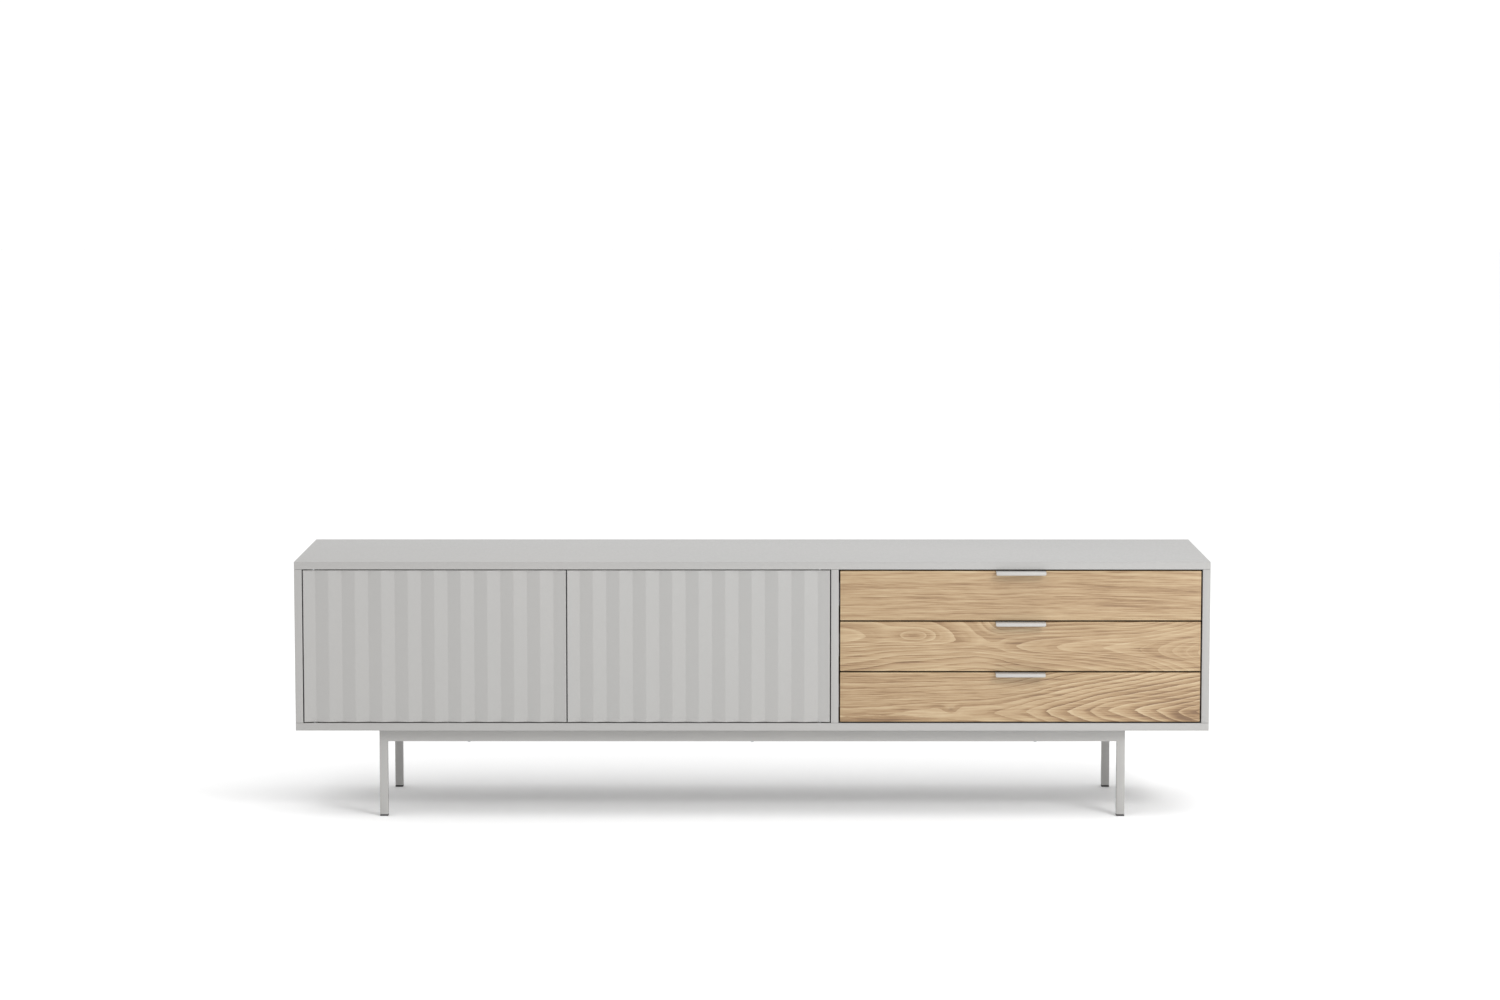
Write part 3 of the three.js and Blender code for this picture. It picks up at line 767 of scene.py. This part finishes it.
DOOR_TREE = pleated_door_tree()
fit = Vector((LEAF_FIT, LEAF_FIT, LEAF_FIT))
bay_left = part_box("left_side_panel")[1][0]
bay_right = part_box("drawer_divider")[0][0]
pleat_pitch = (bay_right - bay_left) / 2 / PLEATS_PER_DOOR
case_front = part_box("top_panel")[0][1]
for door in ("left_door", "right_door"):
    low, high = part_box(door)
    recesses = []
    for level, end, inward in (("bottom", low[2], 1), ("top", high[2], -1)):
        leaf_low, leaf_high = (Vector(corner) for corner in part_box(f"{door}_{level}_pivot"))
        depths = (end - inward * RECESS_PAST, end + inward * LEAF_THICKNESS)
        leaf_low.z, leaf_high.z = sorted(depths)
        recesses.append((leaf_low - fit, leaf_high + fit))
    door_sizes = {
        "Width": high[0] - low[0],
        "Height": high[2] - low[2],
        "Thickness": high[1] - case_front,
        "Pitch": pleat_pitch,
        "Depth": PLEAT_DEPTH,
        "Crest": CREST,
        "Phase": (low[0] - bay_left) % (pleat_pitch / 2),
        "Ease": DOOR_EASE,
        "Left": low[0],
        "Front": case_front,
        "Foot": low[2],
    }
    grown(
        f"{door}_made",
        blocks("recesses", recesses),
        DOOR_TREE,
        door_sizes,
        door,
        DOOR_ROUND,
        stands_for=(door,),
    )


# ---- Door pivots ------------------------------------------------------------------------
# A zinc-plated leaf with a 5 mm pin is screwed into each end of a door, and its pin turns
# in a moulded cup pressed into the case.

PIVOT_EASE = 0.0003
LEAF_SCREW = (0.0024, 0.0006)
LEAF_SCREW_PLACES = (0.0225, 0.0315)  # from the hinge end of the leaf

for door, hinge_end, inward in (("left_door", 0, 1), ("right_door", 1, -1)):
    leaf_screws = []
    for level, corner, way in (("bottom", 0, -1), ("top", 1, 1)):
        finished(f"{door}_{level}_pivot", PIVOT_EASE, ZINC, door)
        finished(f"{door}_{level}_socket", PIVOT_EASE, GREY_PLASTIC, "cabinet")
        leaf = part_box(f"{door}_{level}_pivot")
        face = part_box(door)[corner][2]
        for place in LEAF_SCREW_PLACES:
            across = leaf[hinge_end][0] + inward * place
            leaf_screws.append(((across, along(leaf[0][1], leaf[1][1], 0.5), face), (0, 0, way)))
    screws(f"{door}_leaf_screws", leaf_screws, LEAF_SCREW, door)


# ---- Push latch -------------------------------------------------------------------------
# A twin latch of grey plastic hangs under the top, with a sprung plunger for each door and
# a small nickel strike plate on the back of the door in front of it.

LATCH_EASE = 0.0012
PLUNGER_EASE = 0.0005
STRIKE_RADIUS = 0.0065
STRIKE_THICKNESS = 0.00025
LATCH_SCREW = (0.003, 0.0012)
LATCH_SCREW_SHARES = (0.08, 0.92)  # along the latch

finished("latch_housing", LATCH_EASE, GREY_PLASTIC, "cabinet", rows=3)
STRIKE = button_tree("strike_plate", 0.94, NICKEL)
strike_sizes = {"Radius": STRIKE_RADIUS, "Height": STRIKE_THICKNESS}
for side in ("left", "right"):
    plunger = f"{side}_latch_plunger"
    finished(plunger, PLUNGER_EASE, GREY_PLASTIC, f"{side}_plunger")
for side in ("left", "right"):
    low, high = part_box(f"{side}_latch_plunger")
    back_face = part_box(f"{side}_door")[1][1]
    spot = (along(low[0], high[0], 0.5), back_face, along(low[2], high[2], 0.5))
    plate = places([(spot, (0, 1, 0))])
    grown(f"{side}_strike_plate", plate, STRIKE, strike_sizes, f"{side}_door")

low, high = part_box("latch_housing")
latch_screws = []
for share in LATCH_SCREW_SHARES:
    spot = (along(low[0], high[0], share), along(low[1], high[1], 0.5), low[2])
    latch_screws.append((spot, (0, 0, -1)))
screws("latch_screws", latch_screws, LATCH_SCREW, "cabinet")


# ---- Drawer fronts ----------------------------------------------------------------------
# Each front is oak, with the grain running along it, eased edges and a matt oil. The three
# boards come from different trunks: the top one is nearly straight in the grain, the middle
# one has arches closing from both ends, and the lowest has arches pointing left.

OAK_TONES = (
    (0.0, (0.148, 0.083, 0.040, 1)),
    (0.25, (0.236, 0.147, 0.074, 1)),
    (0.5, (0.320, 0.220, 0.121, 1)),
    (0.75, (0.374, 0.273, 0.160, 1)),
    (1.0, (0.428, 0.328, 0.206, 1)),
)
GRAIN_REACH = 0.12  # distance from the arches' axis over which the years are drawn
YEAR_DEPTH = 0.012  # of one year, into the board
YEAR_BAND = ((0, -0.55), (0.10, -0.45), (0.45, -0.05), (0.80, 0.28), (0.93, 0.60), (1, 0.45))
PORE_DARKNESS = 0.5
KNOT_DARKNESS = 0.6
OAK_RELIEF = 0.00008
OAK_EASE = 0.0009


def profile(tree, value, points):
    """The height of a smooth curve through (share, height) points."""
    low = min(height for _, height in points)
    span = max(height for _, height in points) - low
    node = step(tree, "ShaderNodeFloatCurve", {"Value": value})
    curve = node.mapping.curves[0]
    spots = [(where, (height - low) / span) for where, height in points]
    curve.points[0].location = spots[0]
    curve.points[-1].location = spots[-1]
    for spot in spots[1:-1]:
        curve.points.new(*spot)
    node.mapping.update()
    return calc(tree, "MULTIPLY_ADD", node.outputs[0], span, low)


def total(tree, *parts):
    value = parts[0]
    for part in parts[1:]:
        value = calc(tree, "ADD", value, part)
    return value


def swirl(tree, x, z, place, size):
    """A soft spot, 1 at its middle, of a given half width and half height."""
    dx = calc(tree, "DIVIDE", calc(tree, "SUBTRACT", x, place[0]), size[0])
    dz = calc(tree, "DIVIDE", calc(tree, "SUBTRACT", z, place[1]), size[1])
    off = calc(tree, "ADD", calc(tree, "POWER", dx, 2), calc(tree, "POWER", dz, 2))
    return calc(tree, "EXPONENT", calc(tree, "MULTIPLY", off, -0.5))


def with_spots(tree, value, x, z, spots):
    """A pattern with soft spots added to it: (place, half size, amount) each."""
    for place, size, amount in spots:
        spot = calc(tree, "MULTIPLY", swirl(tree, x, z, place, size), amount)
        value = calc(tree, "ADD", value, spot)
    return value


def fibres(tree, place, trunk, stretch, detail, size, rough=0.5):
    """Noise about zero, stretched along the fibres of one trunk."""
    own = {"Vector": place, "Scale": stretch, "Location": trunk}
    shifted = step(tree, "ShaderNodeMapping", own).outputs[0]
    noise = {"Vector": shifted, "Scale": 1.0, "Detail": detail, "Roughness": rough}
    shade = step(tree, "ShaderNodeTexNoise", noise).outputs["Fac"]
    return calc(tree, "MULTIPLY", calc(tree, "SUBTRACT", shade, 0.5), size)


def count_years(tree, x, y, z, share, grain, growth):
    """The count of years at a place, which rises away from the axis of the arches."""
    wobble = growth["wobble"]
    height = calc(tree, "SUBTRACT", z, profile(tree, share, growth["axis"]))
    height = calc(tree, "ADD", height, grain((5, 5, 9), 2, 0.016 * wobble))
    above = calc(tree, "DIVIDE", calc(tree, "MAXIMUM", height, 0.0), GRAIN_REACH)
    below = calc(tree, "DIVIDE", calc(tree, "MINIMUM", height, 0.0), -GRAIN_REACH)
    crowd = profile(tree, share, growth["crowd"])
    years = total(
        tree,
        calc(tree, "MULTIPLY", profile(tree, above, growth["up"]), crowd),
        profile(tree, below, growth["down"]),
        profile(tree, share, growth["rings"]),
        calc(tree, "DIVIDE", y, YEAR_DEPTH),
        grain((6, 12, 16), 2, 1.3 * wobble),
        grain((24, 40, 110), 3, 0.55 * wobble),
    )
    return with_spots(tree, years, x, z, growth.get("swells", ()))


def year_bands(tree, years, year, share, bold):
    """Dark porous spring wood and light dense summer wood, bolder in some years."""
    number = {"W": calc(tree, "FLOOR", years)}
    luck = step(tree, "ShaderNodeTexWhiteNoise", number, noise_dimensions="1D")
    strength = spread(tree, luck.outputs["Value"], 0.3, 1, 0, 1)
    boldness = calc(tree, "MULTIPLY", profile(tree, share, bold), strength)
    band = calc(tree, "MULTIPLY", profile(tree, year, YEAR_BAND), boldness)
    slow = {"W": years, "Scale": 0.8, "Detail": 4.0}
    drift = step(tree, "ShaderNodeTexNoise", slow, noise_dimensions="1D")
    return calc(tree, "ADD", band, drift.outputs["Fac"])


def toned(tree, tone):
    """The colour of oak at a tone from 0 to 1."""
    ramp = step(tree, "ShaderNodeValToRGB", {"Fac": tone})
    stops = ramp.color_ramp.elements
    stops[0].color = OAK_TONES[0][1]
    stops[1].color = OAK_TONES[-1][1]
    for position, colour in OAK_TONES[1:-1]:
        stops.new(position).color = colour
    return ramp.outputs[0]


def open_pores(tree, x, z, year, grain, core):
    """How deep the open pores and the core of a knot are, from 0 to 1."""
    pore = spread(tree, grain((30, 800, 900), 2, 1.0, 0.7), 0, 1, 0.08, 0.20)
    open_year = spread(tree, year, 1, 0.35, 0.0, 0.45)
    pores = calc(tree, "MULTIPLY", calc(tree, "MULTIPLY", pore, open_year), PORE_DARKNESS)
    if core:
        knot = calc(tree, "MULTIPLY", swirl(tree, x, z, *core), KNOT_DARKNESS)
        pores = calc(tree, "MAXIMUM", pores, knot)
    return pores


def oak(name, centre, width, growth):
    """Oak of one trunk, on a board with its centre there."""
    material, tree, shader = new_material(name)
    place = step(tree, "ShaderNodeTexCoord").outputs["Object"]
    to_centre = {"Vector": place, "Location": [-part for part in centre]}
    moved = step(tree, "ShaderNodeMapping", to_centre).outputs[0]
    axes = step(tree, "ShaderNodeSeparateXYZ", {"Vector": moved})
    x, y, z = (axes.outputs[letter] for letter in "XYZ")
    grain = partial(fibres, tree, moved, growth["trunk"])
    share = calc(tree, "MULTIPLY_ADD", x, 1 / width, 0.5)
    years = count_years(tree, x, y, z, share, grain, growth)
    year = calc(tree, "FRACT", years)

    streak = grain((7, 240, 330), 4, 1.0, 0.62)
    tone = total(
        tree,
        year_bands(tree, years, year, share, growth["bold"]),
        streak,
        grain((18, 300, 520), 3, 1.15, 0.6),
        grain((3, 14, 18), 2, 0.45),
    )
    tone = with_spots(tree, tone, x, z, growth.get("stains", ()))
    pores = open_pores(tree, x, z, year, grain, growth.get("core"))
    colour = blend(tree, pores, toned(tree, tone), OAK_TONES[0][1])
    tree.links.new(colour, shader.inputs["Base Color"])
    tree.links.new(spread(tree, streak, 0.50, 0.64, -0.2, 0.2), shader.inputs["Roughness"])
    depth = calc(tree, "SUBTRACT", calc(tree, "MULTIPLY", streak, 0.5), pores)
    relief(tree, shader, depth, OAK_RELIEF, 0.6)
    return material


# axis gives the height of the arches' tips along a board, in metres, and rings the count of
# years there. up and down are the years away from the axis, above and below it, and crowd
# scales those above it along the board. bold is how dark the bands are, and wobble how much
# the years wander. swells are local changes of the count and stains darker spots, each as
# (place, half size, amount), and core is the place and half size of a knot's core.
TRUNKS = {
    "drawer_1": dict(
        trunk=(3.1, 8.2, 1.7),
        axis=[(0, -0.056), (1, -0.055)],
        rings=[(0, 0.25), (0.25, 0.0), (0.5, 0.0), (1, 1.6)],
        up=[(0, 0.0), (1, 12.0)],
        down=[(0, 0.0), (1, 12.0)],
        crowd=[(0, 0.99), (1, 1.0)],
        bold=[(0, 0.22), (1, 0.10)],
        wobble=0.6,
    ),
    "drawer_2": dict(
        trunk=(11.4, 2.6, 5.9),
        axis=[(0, 0.020), (0.20, 0.019), (0.35, 0.012), (0.46, 0.002), (0.65, 0.0), (1, -0.013)],
        rings=[
            (0, 1.2),
            (0.08, 1.8),
            (0.14, 2.4),
            (0.25, 3.1),
            (0.345, 4.0),
            (0.40, 4.6),
            (0.43, 4.6),
            (0.47, 4.0),
            (0.56, 3.1),
            (0.70, 2.0),
            (0.82, 1.0),
            (0.90, -0.6),
            (1, -3.4),
        ],
        up=[(0, 0.0), (0.08, 0.35), (0.17, 1.3), (0.28, 3.0), (0.6, 7.0), (1, 10.0)],
        down=[(0, 0.0), (0.05, 0.15), (0.10, 0.6), (0.16, 2.1), (0.22, 3.1), (0.6, 7.0), (1, 11.0)],
        crowd=[(0, 0.45), (0.25, 0.25), (0.36, 0.25), (0.48, 1.0), (1, 1.1)],
        bold=[(0, 0.38), (0.30, 0.50), (0.50, 0.45), (1, 0.40)],
        wobble=0.4,
        swells=[((-0.206, 0.022), (0.024, 0.009), -1.9)],
        stains=[((-0.206, 0.022), (0.022, 0.007), -0.22)],
    ),
    "drawer_3": dict(
        trunk=(6.3, 14.8, 9.1),
        axis=[(0, -0.036), (0.45, -0.030), (1, -0.027)],
        rings=[(0, 10.7), (0.3, 10.2), (0.46, 9.4), (0.62, 7.0), (1, 0.8)],
        up=[(0, 0.0), (0.06, 0.35), (0.14, 1.2), (0.35, 3.9), (0.65, 7.9), (1, 12.0)],
        down=[(0, 0.0), (0.09, 0.5), (0.18, 1.3), (1, 12.0)],
        crowd=[(0, 0.80), (0.5, 0.95), (1, 1.0)],
        bold=[(0, 0.40), (0.44, 0.40), (0.60, 0.75), (1, 0.85)],
        wobble=0.7,
        swells=[((-0.136, -0.024), (0.011, 0.007), 0.9)],
        stains=[((0.325, -0.037), (0.022, 0.012), -0.45), ((-0.26, -0.046), (0.05, 0.004), -0.3)],
        core=((-0.136, -0.024), (0.004, 0.0022)),
    ),
}
for drawer, growth in TRUNKS.items():
    low, high = (Vector(corner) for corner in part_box(f"{drawer}_front"))
    board = oak(f"oak_{drawer}", (low + high) / 2, high.x - low.x, growth)
    finished(f"{drawer}_front", OAK_EASE, board, drawer, rows=3)


# ---- Handles ----------------------------------------------------------------------------
# A tab of 2 mm steel sheet lies in a recess in the top edge of each front, comes forward
# over it and turns down. It is powder coated, and two screws hold it from above.

HANDLE_GREY = (0.366, 0.356, 0.341, 1)
HANDLE_GREY_DEEP = (0.356, 0.346, 0.331, 1)
HANDLE_EASE = 0.0005
HANDLE_SCREW = (0.0030, 0.0008)
HANDLE_SCREW_SHARES = (0.18, 0.82)  # along the handle
HANDLE_SCREW_IN = 0.0055  # from the back edge of the handle

HANDLE_COAT = powder_coat("handle_powder_coat", HANDLE_GREY, HANDLE_GREY_DEEP)
for drawer in TRUNKS:
    finished(f"{drawer}_handle", HANDLE_EASE, HANDLE_COAT, drawer, rows=3)
    low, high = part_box(f"{drawer}_handle")
    handle_screws = []
    for share in HANDLE_SCREW_SHARES:
        spot = (along(low[0], high[0], share), high[1] - HANDLE_SCREW_IN, high[2])
        handle_screws.append((spot, (0, 0, 1)))
    screws(f"{drawer}_handle_screws", handle_screws, HANDLE_SCREW, drawer)


# ---- Drawer boxes -----------------------------------------------------------------------
# Sides and back of 12 mm melamine board; the thin bottom slides in grooves in the front and
# sides and is screwed up into the back. Each side is drawn to the front by a covered cam.

BOX_EASE = 0.0005
BOX_COVER_RADIUS = 0.0078
BOX_COVER_HEIGHT = 0.0008
BOX_CAM_DROP = 0.022  # from the upper edge of a side
BOTTOM_SCREW = (0.0028, 0.0012)
BOTTOM_SCREW_SHARES = (0.1, 0.37, 0.63, 0.9)  # along the drawer's back
BOTTOM_SCREW_IN = 0.006  # from the back edge of the bottom

for drawer in TRUNKS:
    for board in ("left_side", "right_side", "back", "bottom"):
        finished(f"{drawer}_{board}", BOX_EASE, MELAMINE, drawer)
    cover_spots = []
    for side, corner, way in (("left", 1, 1), ("right", 0, -1)):
        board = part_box(f"{drawer}_{side}_side")
        spot = (board[corner][0], board[0][1] + CAM_INSET, board[1][2] - BOX_CAM_DROP)
        cover_spots.append((spot, (way, 0, 0)))
    covers = places(cover_spots)
    cover_sizes = {"Radius": BOX_COVER_RADIUS, "Height": BOX_COVER_HEIGHT}
    grown(f"{drawer}_cam_covers", covers, COVER, cover_sizes, drawer)
    low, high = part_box(f"{drawer}_bottom")
    bottom_screws = []
    for share in BOTTOM_SCREW_SHARES:
        spot = (along(low[0], high[0], share), high[1] - BOTTOM_SCREW_IN, low[2])
        bottom_screws.append((spot, (0, 0, -1)))
    screws(f"{drawer}_bottom_screws", bottom_screws, BOTTOM_SCREW, drawer)


# ---- Runners ----------------------------------------------------------------------------
# Two zinc-plated steel channels face each other at each side of a drawer, one screwed to
# the case and one to the drawer. Two short rows of steel balls roll between their flanges.

RUNNER_EASE = 0.00035
RUNNER_SHEET = 0.0012
RUNNER_SCREW = (0.0034, 0.0011)
RUNNER_SCREW_PLACES = (0.037, 0.165, 0.325)  # from the front end
BALL_RADIUS = 0.0019
BALLS_PER_TRACK = 9
BALL_PITCH = 0.0095
FIRST_BALL = 0.008  # from the front end


def ball_tree():
    tree, entry = new_tree("bearing_balls", "Places", ["Radius"])
    sizes = {"Radius": entry["Radius"], "Subdivisions": 3}
    ball = step(tree, "GeometryNodeMeshIcoSphere", sizes)
    smooth = step(tree, "GeometryNodeSetShadeSmooth", {"Geometry": ball.outputs["Mesh"]})
    set_out(tree, entry, smooth.outputs[0], NICKEL)
    return tree


BALLS = ball_tree()
for drawer in TRUNKS:
    for side, inner, outer, way in (("left", 1, 0, 1), ("right", 0, 1, -1)):
        for member, body in (("runner", "cabinet"), ("slide", drawer)):
            finished(f"{drawer}_{side}_{member}", RUNNER_EASE, ZINC, body)
        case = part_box(f"{drawer}_{side}_runner")
        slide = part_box(f"{drawer}_{side}_slide")
        track_x = along(slide[outer][0], case[inner][0], 0.5)
        upper = along(slide[1][2], case[1][2] - RUNNER_SHEET, 0.5)
        lower = along(slide[0][2], case[0][2] + RUNNER_SHEET, 0.5)
        balls = []
        for track in (upper, lower):
            for index in range(BALLS_PER_TRACK):
                place = case[0][1] + FIRST_BALL + index * BALL_PITCH
                balls.append(((track_x, place, track), (0, 0, 1)))
        sizes = {"Radius": BALL_RADIUS}
        grown(f"{drawer}_{side}_balls", places(balls), BALLS, sizes, "cabinet")

        wall_face = case[outer][0] + way * RUNNER_SHEET
        slide_face = slide[inner][0] - way * RUNNER_SHEET
        middle = along(case[0][2], case[1][2], 0.5)
        case_screws = []
        slide_screws = []
        for place in RUNNER_SCREW_PLACES:
            case_screws.append(((wall_face, case[0][1] + place, middle), (way, 0, 0)))
            slide_screws.append(((slide_face, slide[0][1] + place, middle), (-way, 0, 0)))
        screws(f"{drawer}_{side}_runner_screws", case_screws, RUNNER_SCREW, "cabinet")
        screws(f"{drawer}_{side}_slide_screws", slide_screws, RUNNER_SCREW, drawer)
